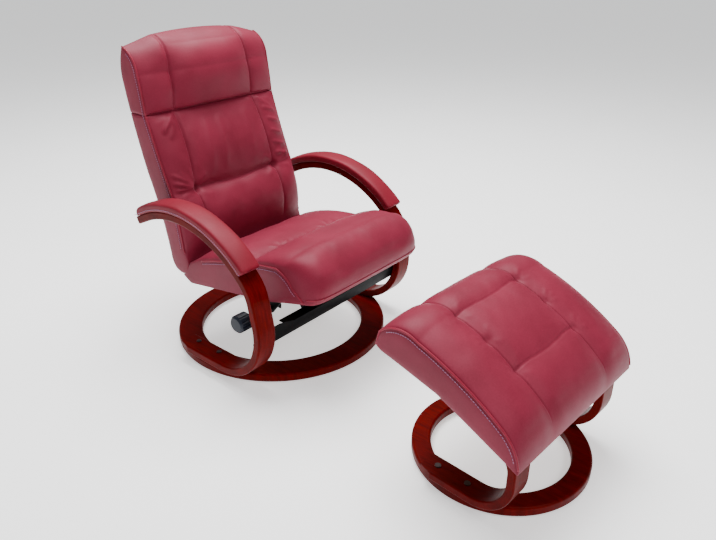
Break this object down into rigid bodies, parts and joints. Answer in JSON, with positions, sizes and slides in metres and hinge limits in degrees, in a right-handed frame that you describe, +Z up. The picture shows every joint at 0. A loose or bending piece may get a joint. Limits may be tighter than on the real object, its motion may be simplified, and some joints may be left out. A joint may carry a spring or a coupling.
{
  "type": "recliner with footstool",
  "caption": "Reclining armchair on a round bentwood base with upholstered seat, back, headrest and armrests, with a matching cushioned footstool on its own ring.",
  "frame": {"origin": "centre of the bounding box of chair and footstool together, on the floor", "axes": "+Z up, chair faces -Y, +X towards the sitter's left"},
  "size_m": [0.74, 1.5265, 0.974],
  "materials": {
    "upholstery": "satin faux leather, a coated fabric over foam",
    "stained_wood": "dark reddish stain, glossy lacquer",
    "plain_wood": "plain plywood",
    "black_steel": "black satin paint",
    "zinc_steel": "zinc plated",
    "knob_plastic": "satin",
    "bush_plastic": "plain nylon",
    "glide_plastic": "satin"
  },
  "bodies": {
    "base": {"base_ring": "stained_wood", "base_glides": "glide_plastic", "arm_foot_bolts": "black_steel", "arm_left": "stained_wood", "arm_right": "stained_wood", "arm_pad_left": "upholstery", "arm_pad_right": "upholstery", "arm_pad_screws": "zinc_steel", "front_crossbar": "black_steel", "crossbar_bolts": "black_steel", "seat_frame": "black_steel", "seat_mount_bolts": "black_steel", "seat_board_screws": "zinc_steel", "hinge_pins": "zinc_steel", "seat_board": "plain_wood", "mount_plate_left": "black_steel", "mount_plate_right": "black_steel", "seat_cushion": "upholstery", "clamp_bolt": "zinc_steel", "clamp_spacer": "zinc_steel", "clamp_sleeve": "black_steel"},
    "back": {"back_frame": "black_steel", "back_board": "plain_wood", "back_board_screws": "zinc_steel", "hinge_bushes": "bush_plastic", "back_rear_cover": "upholstery", "back_cushion": "upholstery", "headrest_pillow": "upholstery", "stay_pin": "zinc_steel"},
    "stay": {"recline_stay": "black_steel"},
    "knob": {"clamp_knob": "knob_plastic"},
    "footstool": {"stool_ring": "stained_wood", "stool_glides": "glide_plastic", "stool_foot_bolts": "black_steel", "stool_leg_left": "stained_wood", "stool_leg_right": "stained_wood", "stool_front_rail": "plain_wood", "stool_rear_rail": "plain_wood", "stool_rail_dowels": "plain_wood", "stool_board": "plain_wood", "stool_board_screws": "zinc_steel", "stool_cushion": "upholstery"}
  },
  "joints": [
    {"name": "back_recline", "type": "hinge", "parent": "base", "child": "back", "pos_m": [0.00805, 0.57675, 0.285], "axis": [-1, 0, 0], "range_deg": [0, 30]},
    {"name": "stay_pivot", "type": "hinge", "parent": "back", "child": "stay", "pos_m": [-0.19795, 0.58839, 0.24153], "axis": [-1, 0, 0], "range_deg": [-30, 0]},
    {"name": "knob_turn", "type": "hinge", "parent": "base", "child": "knob", "pos_m": [-0.33796, 0.18475, 0.24077], "axis": [-1, 0, 0], "range_deg": [-180, 180]},
    {"name": "footstool_slide", "type": "slide", "parent": "base", "child": "footstool", "axis": [0, -1, 0], "range_m": [0, 0.3]}
  ],
  "couplings": [
    {"joint": "stay_pivot", "follows": "back_recline", "ratio": -1}
  ]
}
